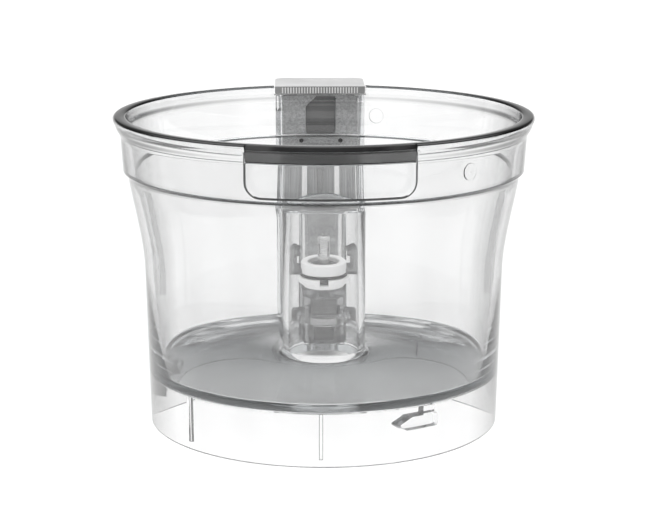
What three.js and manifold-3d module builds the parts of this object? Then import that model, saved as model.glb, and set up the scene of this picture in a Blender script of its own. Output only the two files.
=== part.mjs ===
// Clear work bowl of a compact food processor, with its drive coupling and its interlock handle.
// Millimetres, +Z up, +Y towards the handle. The origin is under the middle of the whole outline,
// on the plane that the base ring stands on. The bowl's own axis lies at y = AXIS_Y, and every
// piece below is described in the bowl's frame, whose Z axis is that axis.

import * as THREE from "three";
import { mergeVertices } from "three/addons/utils/BufferGeometryUtils.js";
import Module from "manifold-3d";

const wasm = await Module();
wasm.setup();

// ---------------------------------------------------------------- driving dimensions

const GAP = 0.3; // clearance between neighbouring solids
const AXIS_Y = -28; // bowl axis from the middle of the outline

const RIM_R = 90; // outer radius of the rim bead
const RIM_Z = 134; // height of the rim
const WALL = 3.3; // thickness of the bowl's wall
const BASE_R = 75.9; // outer radius of the base ring
const WAIST_R = 77.5; // outer radius where the wall starts to flare
const WAIST_Z = 68;
const SHOULDER_R = 83.8; // outer radius where the flare meets the collar
const SHOULDER_Z = 107.2;
const COLLAR_R = 86; // outer radius of the collar at its foot
const COLLAR_TOP_R = 86.9;
const COLLAR_Z = 111; // foot of the collar and height of the inner ledge
const BEAD_Z = 125; // foot of the rim bead
const COLLAR_WALL = 3.65;
const SKIRT_R = 73.9; // inner radius of the skirt under the floor
const BORE_R = 72.9; // inner radius of the wall just above the floor
const FLOOR_Z = 26.4; // top of the floor
const FLOOR_T = 3.3;
const FLOOR_UNDER_Z = FLOOR_Z - FLOOR_T;

const PAD_W = 68; // pad on the front of the collar
const PAD_Z = 112.4;
const PAD_R = 89.9;
const PAD_AZIMUTH = -89.3; // degrees from +X
const STRIP_Z = 126.8; // foot of the smoked strip in the rim
const STRIP_DEEP_R = 86.6; // bottom of the pocket that holds the strip
const STRIP_HALF_DEG = 22;

const LUG_AZIMUTHS = [-56, 64, 184]; // bayonet lugs, degrees from +X
const LUG_R = 67.9;
const LUG_Z = [13, 18.5];
const SKIRT_RIB_AZIMUTHS = [-139, -92, 49];
const FIN_AZIMUTHS = [-155, -25]; // tapered ribs inside the wall
const FIN_Z = [62, 107];
const GATE_MARKS = [-49, 72]; // round marks on the collar, degrees from +X

const TUBE_R = 18.1; // centre tube
const TUBE_BORE_R = 15.4;
const TUBE_TOP_Z = 97.6;
const TUBE_FOOT_R = 20.3;

const NECK_R = 6.4; // journal of the drive hub
const HUB_R = 9.75;
const HUB_Z = [33, 58.2];
const NECK_TOP_Z = 67.5;
const PIN_R = 2.65;
const PIN_TOP_Z = 80;
const SEAT_Z = 64.3; // foot of the bearing bush
const BUSH_R = 10;
const BUSH_T = 4.9;
const HOOK_TOP_Z = 75.4; // hooks that hold the bush
const HOOK_HALF = 4.2; // half their width
const DOG_R = 14;

const HANDLE_W = 42.4; // width of the lock housing and the spine channel
const SIDE_WALL = 2.7;
const LOCK_Z = [96.4, 129.5]; // lock housing, foot and top
const LOCK_FLOOR = 2.6; // thickness of the housing's bottom
const LOCK_BACK_Y = 112;
const SPINE_BACK_Y = 98.5;
const SPINE_Z = [2, 96];
const PANEL_Y = [90.7, 92.3]; // frosted panel and rod cover
const NOTCH_Z = 130; // foot of the notch in the rim that takes the handle's cap
const CAP_FRONT_Y = 84;
const CAP_TOP_Z = 134.2;
const ROD_X = 0.5; // middle of the interlock slider and rod
const ROD_W = 13;
const ROD_Y = [92.8, 95.6];
const SLIDER_W = 14.2;
const SLIDER_Z = [110, 129];
const ARM_Z = 122.3; // underside of the slider's arm, which rides on the spring
const SPRING_Y = 102.8; // axis of the return spring
const SPRING_R = 3.8; // to the middle of its wire
const SPRING_WIRE = 1;
const GRIP_W = 30;

// ---------------------------------------------------------------- solids

// Turns a closed geometry into a solid, without the flat triangles left where a profile meets its axis.
function solid(geometry) {
  geometry.deleteAttribute("normal");
  geometry.deleteAttribute("uv");
  const merged = mergeVertices(geometry, 1e-4);
  const corners = merged.index.array;
  const kept = [];
  for (let i = 0; i < corners.length; i += 3) {
    const [a, b, c] = [corners[i], corners[i + 1], corners[i + 2]];
    if (a !== b && b !== c && c !== a) kept.push(a, b, c);
  }
  const mesh = new wasm.Mesh({
    numProp: 3,
    vertProperties: new Float32Array(merged.attributes.position.array),
    triVerts: new Uint32Array(kept),
  });
  return new wasm.Manifold(mesh);
}

function toGeometry(body) {
  const mesh = body.getMesh();
  const geometry = new THREE.BufferGeometry();
  geometry.setAttribute("position", new THREE.BufferAttribute(new Float32Array(mesh.vertProperties), 3));
  geometry.setIndex(new THREE.BufferAttribute(new Uint32Array(mesh.triVerts), 1));
  geometry.computeVertexNormals();
  return geometry;
}

// Box between two opposite corners.
function box([x0, y0, z0], [x1, y1, z1]) {
  const geometry = new THREE.BoxGeometry(x1 - x0, y1 - y0, z1 - z0);
  geometry.translate((x0 + x1) / 2, (y0 + y1) / 2, (z0 + z1) / 2);
  return solid(geometry);
}

// Closed profile of [radius, height] points, or of a path, turned round the Z axis.
function revolve(profile, segments) {
  const points = Array.isArray(profile)
    ? profile.map(([r, z]) => new THREE.Vector2(r, z))
    : profile.getPoints(5);
  if (THREE.ShapeUtils.area(points) < 0) points.reverse();
  if (!points[0].equals(points[points.length - 1])) points.push(points[0].clone());
  const geometry = new THREE.LatheGeometry(points, segments);
  geometry.rotateX(Math.PI / 2);
  return solid(geometry);
}

// Ring between two radii and two heights.
function ring(inner, outer, z0, z1, segments) {
  return revolve([[inner, z0], [outer, z0], [outer, z1], [inner, z1]], segments);
}

const X = new THREE.Vector3(1, 0, 0);
const Y = new THREE.Vector3(0, 1, 0);
const Z = new THREE.Vector3(0, 0, 1);

function shapeOf(points) {
  return new THREE.Shape(points.map(([u, v]) => new THREE.Vector2(u, v)));
}

// Outline in the (Y, Z) plane, extruded along X between x0 and x1.
function alongX(shape, x0, x1, options = {}) {
  const depth = x1 - x0 - 2 * (options.bevelThickness ?? 0);
  const geometry = new THREE.ExtrudeGeometry(shape, { depth, bevelEnabled: false, curveSegments: 8, ...options });
  geometry.translate(0, 0, x0 + (options.bevelThickness ?? 0));
  geometry.applyMatrix4(new THREE.Matrix4().makeBasis(Y, Z, X));
  return solid(geometry);
}

// Outline in the (X, Z) plane, extruded along Y between y0 and y1.
function alongY(shape, y0, y1, curveSegments = 6) {
  const geometry = new THREE.ExtrudeGeometry(shape, { depth: y1 - y0, bevelEnabled: false, curveSegments });
  geometry.translate(0, 0, -y1);
  geometry.applyMatrix4(new THREE.Matrix4().makeBasis(X, Z, Y.clone().negate()));
  return solid(geometry);
}

// Profile of [radius, length] points turned round an axis along +Y through (x, z), starting at y.
function turnedAlongY(profile, x, y, z, segments) {
  return revolve(profile, segments).rotate([-90, 0, 0]).translate([x, y, z]);
}

// Rectangle with its corners rounded at the top, the bottom, or both.
function roundedRectangle(x0, z0, x1, z1, topRadius, bottomRadius = 0) {
  const shape = new THREE.Shape();
  shape.moveTo(x0 + bottomRadius, z0);
  shape.lineTo(x1 - bottomRadius, z0);
  if (bottomRadius) shape.absarc(x1 - bottomRadius, z0 + bottomRadius, bottomRadius, -Math.PI / 2, 0);
  shape.lineTo(x1, z1 - topRadius);
  if (topRadius) shape.absarc(x1 - topRadius, z1 - topRadius, topRadius, 0, Math.PI / 2);
  shape.lineTo(x0 + topRadius, z1);
  if (topRadius) shape.absarc(x0 + topRadius, z1 - topRadius, topRadius, Math.PI / 2, Math.PI);
  shape.lineTo(x0, z0 + bottomRadius);
  if (bottomRadius) shape.absarc(x0 + bottomRadius, z0 + bottomRadius, bottomRadius, Math.PI, 1.5 * Math.PI);
  return shape;
}

// Turns a solid built at azimuth -90 degrees, facing -Y, to another azimuth.
function atAzimuth(body, degrees) {
  return body.rotate([0, 0, degrees + 90]);
}

function union(bodies) {
  return bodies.reduce((sum, body) => sum.add(body));
}

// ---------------------------------------------------------------- materials and assembly

function plastic(color, roughness, opacity = 1) {
  return { color, roughness, metalness: 0, opacity, transparent: opacity < 1 };
}

const CLEAR = plastic(0xe9edee, 0.06, 0.3);
const CLEAR_GREY = plastic(0xc4c8ca, 0.08, 0.5);
const SMOKED = plastic(0x66696b, 0.12, 0.7);
const FROSTED = plastic(0xa6aaac, 0.6, 0.9);
const PALE = plastic(0xd2d5d6, 0.5);
const WHITE = plastic(0xf2f3f2, 0.35);
const DARK = plastic(0x4c4e50, 0.45);
const BLACK = plastic(0x16171a, 0.5);
const CORE_GREY = plastic(0x9a9da0, 0.4);
const STEEL = { color: 0xb9bcbf, roughness: 0.25, metalness: 1 };
const SPRING_STEEL = { color: 0xa3a6a8, roughness: 0.3, metalness: 1 };

const part = new THREE.Group();
part.name = "food_processor_bowl";
const bowl = new THREE.Group();
const drive = new THREE.Group();
const handle = new THREE.Group();
const interlock = new THREE.Group();
for (const group of [bowl, drive, handle, interlock]) {
  group.position.y = AXIS_Y;
  part.add(group);
}

function piece(group, name, body, look) {
  const mesh = new THREE.Mesh(toGeometry(body), new THREE.MeshStandardMaterial(look));
  mesh.name = name;
  group.add(mesh);
}

// ---------------------------------------------------------------- the bowl

const BOWL_SEGMENTS = 48;
const FLARE = { low: [0.4, 13.1], high: [-2.15, -13] }; // handles of the flare's curve at its two ends

// The flared stretch of the wall, moved inwards by inset, as a path from the waist up to the shoulder.
function addFlareUp(path, inset) {
  path.bezierCurveTo(
    WAIST_R - inset + FLARE.low[0], WAIST_Z + FLARE.low[1],
    SHOULDER_R - inset + FLARE.high[0], SHOULDER_Z + FLARE.high[1],
    SHOULDER_R - inset, SHOULDER_Z,
  );
}

function addFlareDown(path, inset) {
  path.bezierCurveTo(
    SHOULDER_R - inset + FLARE.high[0], SHOULDER_Z + FLARE.high[1],
    WAIST_R - inset + FLARE.low[0], WAIST_Z + FLARE.low[1],
    WAIST_R - inset, WAIST_Z,
  );
}

// The outside of the bowl from its foot to the outer edge of the rim, moved outwards by grow.
function addOutside(path, grow) {
  path.lineTo(BASE_R + grow, 0.3);
  path.lineTo(WAIST_R + grow, WAIST_Z);
  addFlareUp(path, -grow);
  path.quadraticCurveTo(SHOULDER_R + 0.5 + grow, COLLAR_Z - 0.8, COLLAR_R + grow, COLLAR_Z);
  path.lineTo(COLLAR_TOP_R + grow, BEAD_Z);
  path.bezierCurveTo(
    COLLAR_TOP_R + 0.2 + grow, BEAD_Z + 2.4,
    RIM_R - 1.1 + grow, RIM_Z - 5.6,
    RIM_R - 0.6 + grow, RIM_Z - 2.8,
  );
  path.lineTo(RIM_R + grow, RIM_Z - 1.3);
}

function wallOutline() {
  const path = new THREE.Path();
  path.moveTo(BASE_R - 0.3, 0);
  addOutside(path, 0);
  path.quadraticCurveTo(RIM_R, RIM_Z, RIM_R - 1.2, RIM_Z);
  path.lineTo(RIM_R - 4.8, RIM_Z);
  path.quadraticCurveTo(RIM_R - 5.6, RIM_Z, RIM_R - 5.6, RIM_Z - 1);
  path.quadraticCurveTo(RIM_R - 6, BEAD_Z + 4, COLLAR_TOP_R - COLLAR_WALL, BEAD_Z);
  path.lineTo(COLLAR_R - COLLAR_WALL, COLLAR_Z);
  path.lineTo(SHOULDER_R - WALL + 0.7, COLLAR_Z);
  path.lineTo(SHOULDER_R - WALL, SHOULDER_Z);
  addFlareDown(path, WALL);
  path.lineTo(BORE_R, FLOOR_UNDER_Z);
  path.lineTo(SKIRT_R, FLOOR_UNDER_Z - 0.6);
  path.lineTo(SKIRT_R, 0.2);
  path.lineTo(SKIRT_R + 0.2, 0);
  path.lineTo(BASE_R - 0.3, 0);
  return path;
}

// Everything within the bowl's outside, with a gap all round: what the handle's pieces are cut back from.
function bowlClearance() {
  const path = new THREE.Path();
  path.moveTo(0, -1);
  path.lineTo(BASE_R + GAP, -1);
  addOutside(path, GAP);
  path.lineTo(RIM_R + GAP, RIM_Z + 1);
  path.lineTo(0, RIM_Z + 1);
  path.lineTo(0, -1);
  return revolve(path, BOWL_SEGMENTS);
}

function frontPad() {
  const outline = roundedRectangle(-PAD_W / 2, PAD_Z, PAD_W / 2, RIM_Z - 2, 0, 6.7);
  const slab = alongY(outline, -RIM_R - 2, -COLLAR_R + 12);
  return slab.intersect(ring(COLLAR_R - 1, PAD_R, PAD_Z - 1, RIM_Z - 1.5, 96));
}

// Sector of a ring, centred on azimuth -90 degrees.
function frontSector(inner, outer, z0, z1, halfDegrees) {
  const half = THREE.MathUtils.degToRad(halfDegrees);
  const from = -Math.PI / 2 - half;
  const to = -Math.PI / 2 + half;
  const shape = new THREE.Shape();
  shape.absarc(0, 0, outer, from, to, false);
  shape.absarc(0, 0, inner, to, from, true);
  const options = { depth: z1 - z0, bevelEnabled: false, curveSegments: 12 };
  const geometry = new THREE.ExtrudeGeometry(shape, options);
  geometry.translate(0, 0, z0);
  return solid(geometry);
}

// Rib inside the wall, 3.5 mm wide at the collar and running out to a point.
function fin() {
  const blade = alongY(shapeOf([[-0.2, FIN_Z[0]], [0.2, FIN_Z[0]], [1.75, FIN_Z[1]], [-1.75, FIN_Z[1]]]), -84, -68);
  const path = new THREE.Path();
  path.moveTo(WAIST_R - WALL + 1.2, FIN_Z[0] - 1);
  path.lineTo(WAIST_R - WALL + 1.2, WAIST_Z);
  addFlareUp(path, WALL - 1.2);
  path.lineTo(SHOULDER_R - WALL - 2, SHOULDER_Z);
  addFlareDown(path, WALL + 2);
  path.lineTo(WAIST_R - WALL - 2, FIN_Z[0] - 1);
  path.lineTo(WAIST_R - WALL + 1.2, FIN_Z[0] - 1);
  return blade.intersect(revolve(path, BOWL_SEGMENTS));
}

// Bayonet lug: a bar with one pointed end, hung from the floor by a short stem.
function lug() {
  const [z0, z1] = LUG_Z;
  const bar = alongY(shapeOf([[-14, 15.4], [-10.5, z0], [4.6, z0], [4.6, z1], [-8, z1]]), -76, -64);
  const stem = alongY(shapeOf([[-2.75, z1 - 0.5], [2.75, z1 - 0.5], [2.75, FLOOR_UNDER_Z - 0.8],
    [-2.75, FLOOR_UNDER_Z - 0.8]]), -76, -LUG_R - 2.5);
  const shell = ring(LUG_R, SKIRT_R + 0.6, 5, FLOOR_UNDER_Z, BOWL_SEGMENTS);
  return bar.add(stem).intersect(shell);
}

function skirtRib() {
  return box([-0.8, -SKIRT_R - 0.6, 3], [0.8, -SKIRT_R + 1.3, FLOOR_UNDER_Z - 0.8]);
}

function gateMark() {
  const profile = [[0, 0], [3.5, 0], [3.5, 3], [0, 3]];
  return turnedAlongY(profile, 0, -COLLAR_TOP_R - 0.1, 120, 16);
}

function buildBowl() {
  const details = [atAzimuth(frontPad(), PAD_AZIMUTH)];
  FIN_AZIMUTHS.forEach((azimuth) => details.push(atAzimuth(fin(), azimuth)));
  LUG_AZIMUTHS.forEach((azimuth) => details.push(atAzimuth(lug(), azimuth)));
  SKIRT_RIB_AZIMUTHS.forEach((azimuth) => details.push(atAzimuth(skirtRib(), azimuth)));
  GATE_MARKS.forEach((azimuth) => details.push(atAzimuth(gateMark(), azimuth)));
  const moulding = union([revolve(wallOutline(), BOWL_SEGMENTS), ...details]);
  const pocket = frontSector(STRIP_DEEP_R, RIM_R + 3, STRIP_Z, RIM_Z + 3, STRIP_HALF_DEG);
  const notch = box([-HANDLE_W / 2 - GAP, 70, NOTCH_Z], [HANDLE_W / 2 + GAP, RIM_R + 2, RIM_Z + 2]);
  piece(bowl, "bowl_wall", moulding.subtract(atAzimuth(pocket, PAD_AZIMUTH)).subtract(notch), CLEAR);

  const deep = STRIP_DEEP_R + GAP;
  const strip = revolve([[deep, STRIP_Z + GAP], [89.3, STRIP_Z + GAP], [RIM_R, STRIP_Z + 1], [RIM_R, 131.5],
    [89.3, 131.7], [89.3, 132], [89.7, 132.2], [88.9, RIM_Z], [deep, RIM_Z]], 96);
  const span = frontSector(deep - 2, RIM_R + 3, STRIP_Z - 1, RIM_Z + 1, STRIP_HALF_DEG - 0.25);
  piece(bowl, "front_lock_strip", strip.intersect(atAzimuth(span, PAD_AZIMUTH)), SMOKED);

  const disc = ring(TUBE_FOOT_R + GAP, BORE_R - GAP, FLOOR_UNDER_Z, FLOOR_Z, BOWL_SEGMENTS);
  piece(bowl, "bowl_floor", disc, CLEAR_GREY);

  const tube = new THREE.Path();
  tube.moveTo(TUBE_BORE_R, FLOOR_UNDER_Z);
  tube.lineTo(TUBE_FOOT_R, FLOOR_UNDER_Z);
  tube.lineTo(TUBE_FOOT_R, FLOOR_Z + 0.3);
  tube.quadraticCurveTo(TUBE_R, FLOOR_Z + 0.6, TUBE_R, FLOOR_Z + 3.4);
  tube.lineTo(TUBE_R, TUBE_TOP_Z - 1.6);
  tube.quadraticCurveTo(TUBE_R, TUBE_TOP_Z, TUBE_R - 1.4, TUBE_TOP_Z);
  tube.lineTo(TUBE_BORE_R + 0.6, TUBE_TOP_Z);
  tube.lineTo(TUBE_BORE_R, TUBE_TOP_Z - 0.6);
  tube.lineTo(TUBE_BORE_R, FLOOR_UNDER_Z);
  piece(bowl, "centre_tube", revolve(tube, 36), CLEAR);
}

// ---------------------------------------------------------------- the bearing, fixed in the tube

// C-shaped hook that reaches from the tube's wall over and under the bush, drawn at azimuth -90 degrees.
function bushHook() {
  const outer = TUBE_BORE_R - GAP;
  const inner = BUSH_R + GAP;
  const section = revolve([[inner, SEAT_Z], [outer, SEAT_Z], [outer, HOOK_TOP_Z], [outer - 1, HOOK_TOP_Z],
    [outer - 4.4, HOOK_TOP_Z - 1.4], [outer - 4.4, HOOK_TOP_Z - 3], [outer - 2.2, HOOK_TOP_Z - 3.4],
    [outer - 2.2, SEAT_Z + 2.6], [inner, SEAT_Z + 2.6]], 72);
  return section.intersect(box([-HOOK_HALF, -TUBE_BORE_R - 1, SEAT_Z - 1], [HOOK_HALF, 0, HOOK_TOP_Z + 1]));
}

function buildBearing() {
  piece(bowl, "bush_hook_right", atAzimuth(bushHook(), 0), SMOKED);
  piece(bowl, "bush_hook_left", atAzimuth(bushHook(), 180), SMOKED);

  const boreR = NECK_R + 0.45;
  const bush = new THREE.Path();
  bush.moveTo(boreR, SEAT_Z);
  bush.lineTo(BUSH_R - 0.4, SEAT_Z);
  bush.lineTo(BUSH_R, SEAT_Z + 0.4);
  bush.lineTo(BUSH_R, SEAT_Z + BUSH_T - 1);
  bush.quadraticCurveTo(BUSH_R, SEAT_Z + BUSH_T, BUSH_R - 1, SEAT_Z + BUSH_T);
  bush.lineTo(boreR + 0.5, SEAT_Z + BUSH_T);
  bush.lineTo(boreR, SEAT_Z + BUSH_T - 0.5);
  bush.lineTo(boreR, SEAT_Z);
  piece(bowl, "bearing_bush", revolve(bush, 24), WHITE);
  piece(bowl, "shaft_seal", ring(boreR, BUSH_R + 0.4, SEAT_Z - 0.9, SEAT_Z - GAP, 24), BLACK);
}

// ---------------------------------------------------------------- the drive, turning about the bowl's axis

function buildDrive() {
  const cupR = 6;
  const coreR = cupR - GAP;
  const pinHoleR = PIN_R + GAP;
  const hub = revolve([[cupR, HUB_Z[0]], [HUB_R - 0.5, HUB_Z[0]], [HUB_R, HUB_Z[0] + 0.5], [HUB_R, HUB_Z[1]],
    [NECK_R, HUB_Z[1]], [NECK_R, NECK_TOP_Z - 0.4], [NECK_R - 0.4, NECK_TOP_Z], [pinHoleR, NECK_TOP_Z],
    [pinHoleR, HUB_Z[1]], [0, HUB_Z[1]], [0, 54], [cupR, 54]], 32);
  piece(drive, "drive_hub", hub, CLEAR_GREY);

  const core = revolve([[0, 44.6], [coreR, 44.6], [coreR, 53.2], [coreR - 0.5, 53.7], [0, 53.7]], 24);
  piece(drive, "hub_core", core, CORE_GREY);
  piece(drive, "core_washer", revolve([[0, 42], [coreR, 42], [coreR, 44.3], [0, 44.3]], 24), WHITE);

  const square = new THREE.Shape(roundedRectangle(-3.8, -3.8, 3.8, 3.8, 0.6, 0.6).getPoints(2));
  square.holes.push(new THREE.Path(roundedRectangle(-2.5, -2.5, 2.5, 2.5, 0).getPoints(1)));
  const tube = new THREE.ExtrudeGeometry(square, { depth: 7.7, bevelEnabled: false });
  tube.translate(0, 0, HUB_Z[0] + 1);
  piece(drive, "drive_socket", solid(tube), DARK);

  const dogInner = HUB_R + GAP;
  const dogOuter = HUB_R + 2;
  const dogs = [ring(dogInner, dogOuter, 42, 47.5, 32)];
  for (const azimuth of [0, 180]) {
    dogs.push(atAzimuth(box([-2.5, -DOG_R, 42], [2.5, -dogOuter + 0.6, 48]), azimuth));
  }
  const band = ring(dogInner, dogOuter, 30, 54, 32);
  for (const azimuth of [-130, -50, 50, 130]) {
    dogs.push(atAzimuth(box([-1.3, -DOG_R, 32.5], [1.3, -dogInner + 1, 51.5]).intersect(band), azimuth));
  }
  piece(drive, "dog_ring", union(dogs), CLEAR);

  const flangeR = 9.2;
  const flange = revolve([[NECK_R + GAP, HUB_Z[1] + GAP], [flangeR - 0.6, HUB_Z[1] + GAP],
    [flangeR, HUB_Z[1] + 0.9], [flangeR, 60.3], [NECK_R + GAP, 60.3]], 32);
  piece(drive, "thrust_flange", flange, WHITE);

  const split = revolve([[NECK_R + GAP, 60.7], [10.8, 60.7], [11.3, 61.2], [11.3, 62.6], [10.8, 63.1],
    [NECK_R + GAP, 63.1]], 32);
  piece(drive, "retaining_ring", split.subtract(box([-1.8, -13, 60], [1.8, -3, 64])), WHITE);

  const pin = revolve([[0, HUB_Z[1] + GAP], [PIN_R, HUB_Z[1] + GAP], [PIN_R, PIN_TOP_Z - 0.6],
    [PIN_R - 0.6, PIN_TOP_Z], [0, PIN_TOP_Z]], 20);
  piece(drive, "centre_pin", pin, STEEL);
}

// ---------------------------------------------------------------- the handle, fixed to the bowl

const HALF = HANDLE_W / 2;
const INSIDE = HALF - SIDE_WALL;

function buildLock(clearance) {
  const [z0, z1] = LOCK_Z;
  const floorZ = z0 + LOCK_FLOOR;
  const shell = box([-HALF, 76, z0], [HALF, LOCK_BACK_Y, z1])
    .subtract(box([-INSIDE, 70, floorZ], [INSIDE, LOCK_BACK_Y - SIDE_WALL, z1 + 1]))
    .subtract(box([-INSIDE, 70, z0 - 1], [INSIDE, SPINE_BACK_Y + GAP, floorZ + 1]))
    .subtract(box([-HALF - 1, 92.5, 121], [-INSIDE + 1, 98, 128]))
    .subtract(clearance);
  piece(handle, "lock_housing", shell, CLEAR);

  const windowLeft = ROD_X - SLIDER_W / 2 - 0.4;
  const windowRight = ROD_X + SLIDER_W / 2 + 0.4;
  const windowTop = z1 - 0.6;
  const window = shapeOf([[windowLeft, 109.6], [windowRight, 109.6], [windowRight, windowTop],
    [windowLeft + 5.2, windowTop], [windowLeft, windowTop - 6]]);
  const panel = box([-INSIDE + GAP, PANEL_Y[0], floorZ], [INSIDE - GAP, PANEL_Y[1], z1 - GAP])
    .subtract(alongY(window, 89, 94));
  piece(handle, "lock_panel", panel, FROSTED);

  const barY = [88.6, 90.4];
  const bar = alongY(roundedRectangle(ROD_X - 10.85, 106.4, ROD_X + 10.85, 109.3, 0.8, 0.8), ...barY);
  piece(handle, "retainer_bar", bar, FROSTED);
  const screw = [[0, 0], [1.1, 0], [1.1, 0.9], [0, 0.9]];
  for (const [side, dx] of [["left", -9.4], ["right", 9.4]]) {
    const head = turnedAlongY(screw, ROD_X + dx, barY[0] - GAP - 0.9, 107.8, 12);
    piece(handle, `retainer_screw_${side}`, head, BLACK);
  }
  const seat = revolve([[0, 0], [4.6, 0], [4.6, 1], [2.2, 1], [2.2, 5], [1.7, 5.5], [0, 5.5]], 16);
  piece(handle, "spring_seat", seat.translate([ROD_X, SPRING_Y, floorZ + GAP]), DARK);
}

// Pale cap: a flat-topped shell, flush with the rim, with round rear corners and fine ribs across its front.
function buildCap() {
  const foot = NOTCH_Z + GAP;
  const plan = (half, y0, y1, radius, z0, z1) => {
    const outline = roundedRectangle(-half, y0, half, y1, radius);
    const geometry = new THREE.ExtrudeGeometry(outline, { depth: z1 - z0, bevelEnabled: false, curveSegments: 6 });
    geometry.translate(0, 0, z0);
    return solid(geometry);
  };
  const shell = plan(HALF, CAP_FRONT_Y, LOCK_BACK_Y, 5, foot, CAP_TOP_Z)
    .subtract(plan(INSIDE, CAP_FRONT_Y + 2.4, LOCK_BACK_Y - 2.4, 3.5, foot - 1, CAP_TOP_Z - 1.8));
  const ribs = [shell];
  const pitch = 1.3;
  const count = 28;
  for (let i = 0; i < count; i += 1) {
    const x = (i - (count - 1) / 2) * pitch;
    ribs.push(box([x - 0.3, CAP_FRONT_Y - 0.45, foot + 0.2], [x + 0.3, CAP_FRONT_Y + 0.3, CAP_TOP_Z - 0.9]));
  }
  piece(handle, "handle_cap", union(ribs), PALE);
}

function buildSpine(clearance) {
  const [z0, z1] = SPINE_Z;
  const channel = alongY(roundedRectangle(-HALF, z0, HALF, z1, 2.6), 68, SPINE_BACK_Y)
    .subtract(box([-INSIDE, 60, z0 - 1], [INSIDE, SPINE_BACK_Y - 2.5, z1 + 1]))
    .subtract(clearance);
  piece(handle, "spine_channel", channel, CLEAR);

  const coverHalf = 11.6;
  const back = SPINE_BACK_Y - 2.5 - GAP;
  const cover = box([-coverHalf, PANEL_Y[0] + 0.2, z0 + 1], [coverHalf, back, z1])
    .subtract(box([-coverHalf + 1.5, PANEL_Y[1] + 0.1, z0], [coverHalf - 1.5, back + 1, z1 + 1]));
  piece(handle, "rod_cover", cover, FROSTED);

  const plateY = [88.9, 90.5];
  const plateHalf = INSIDE - 0.7;
  const bossX = -0.1;
  const bossZ = 86.8;
  const hole = turnedAlongY([[0, 0], [1.6, 0], [1.6, 4], [0, 4]], bossX, plateY[0] - 1, bossZ, 12);
  const plate = [alongY(roundedRectangle(-plateHalf, 79, plateHalf, 95.2, 2), ...plateY)];
  plate.push(box([-6.5, plateY[0] - 0.5, 83], [6.6, plateY[0] + 0.5, 83.8]));
  for (const side of [-1, 1]) {
    for (let i = 0; i < 3; i += 1) {
      const z = 84.6 + 2.2 * i;
      const [inner, outer] = [side * (plateHalf - 3.2), side * (plateHalf - 0.2)].sort((a, b) => a - b);
      plate.push(box([inner, plateY[0] - 0.8, z], [outer, plateY[0] + 0.5, z + 1]));
    }
  }
  piece(handle, "clip_plate", union(plate).subtract(hole), FROSTED);
  for (const [side, x] of [["left", -7.8], ["right", 8.4]]) {
    const rail = alongY(roundedRectangle(x - 1.3, 81.5, x + 1.3, 91.2, 0.6, 0.6), plateY[0] - 1.8, plateY[0] - GAP);
    piece(handle, `guide_rail_${side}`, rail, WHITE);
  }
  const screw = [[0, 0], [1.9, 0], [2.35, 0.4], [2.35, 1.4], [1.3, 1.4], [1.3, 2.8], [0, 2.8]];
  piece(handle, "clip_screw", turnedAlongY(screw, bossX, plateY[0] - 1.7, bossZ, 16), CORE_GREY);
}

const GRIP_BACK = { top: [146, 106], bottom: [139, 34], topHandle: [146.6, 82], bottomHandle: [143.5, 56] };

// The grip's back, as a slab between two copies of its curve shifted by y offsets, z cut to a range.
function gripBackSlab(offset0, offset1, halfWidth, z0, z1) {
  const { top, bottom, topHandle, bottomHandle } = GRIP_BACK;
  const shape = new THREE.Shape();
  shape.moveTo(top[0] + offset1, top[1]);
  shape.bezierCurveTo(topHandle[0] + offset1, topHandle[1], bottomHandle[0] + offset1, bottomHandle[1],
    bottom[0] + offset1, bottom[1]);
  shape.lineTo(bottom[0] + offset0, bottom[1]);
  shape.bezierCurveTo(bottomHandle[0] + offset0, bottomHandle[1], topHandle[0] + offset0, topHandle[1],
    top[0] + offset0, top[1]);
  const slab = alongX(shape, -halfWidth, halfWidth);
  return slab.intersect(box([-halfWidth - 1, 90, z0], [halfWidth + 1, 160, z1]));
}

function buildGrip() {
  const { top, bottom, topHandle, bottomHandle } = GRIP_BACK;
  const start = LOCK_BACK_Y + GAP;
  const foot = SPINE_BACK_Y + GAP;
  const arch = new THREE.Shape();
  arch.moveTo(start, 131.2);
  arch.bezierCurveTo(128, 128, 145.4, 124, ...top);
  arch.bezierCurveTo(...topHandle, ...bottomHandle, ...bottom);
  arch.bezierCurveTo(134, 15, 120, 8, foot, 8);
  arch.lineTo(foot, 23);
  arch.bezierCurveTo(112, 23, 119, 27, 121.5, 40);
  arch.bezierCurveTo(126, 58, 127, 78, 124, 89);
  arch.bezierCurveTo(122, 95, 118, 96.8, start, 96.8);
  const bevel = { bevelEnabled: true, bevelThickness: 4, bevelSize: 3, bevelOffset: -3, bevelSegments: 3 };
  const screwHeights = [44, 97];
  const screwY = 144;
  let grip = alongX(arch, -GRIP_W / 2, GRIP_W / 2, bevel)
    .subtract(gripBackSlab(-2.5, 3, 10, 38, 103))
    .subtract(gripBackSlab(-13, -2, 8, 50, 91));
  let cover = gripBackSlab(-2.2, 0, 9.7, 38 + GAP, 103 - GAP);
  screwHeights.forEach((z, i) => {
    const face = screwY - [2.4, -1.4][i];
    const head = turnedAlongY([[0, 0], [1.5, 0], [1.5, 6.5], [2.6, 6.5], [2.6, 8], [0, 8]], 0, face - 8, z, 14);
    const shank = turnedAlongY([[0, 0], [1.8, 0], [1.8, 9], [0, 9]], 0, face - 8.4, z, 14);
    const counterbore = turnedAlongY([[0, 0], [2.9, 0], [2.9, 6], [0, 6]], 0, face - 1.8, z, 14);
    grip = grip.subtract(shank).subtract(counterbore);
    cover = cover.subtract(counterbore).subtract(shank);
    piece(handle, ["grip_screw_lower", "grip_screw_upper"][i], head, STEEL);
  });
  piece(handle, "grip_body", grip, FROSTED);
  piece(handle, "grip_cover", cover, PALE);
}

// ---------------------------------------------------------------- the interlock, sliding down

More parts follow.
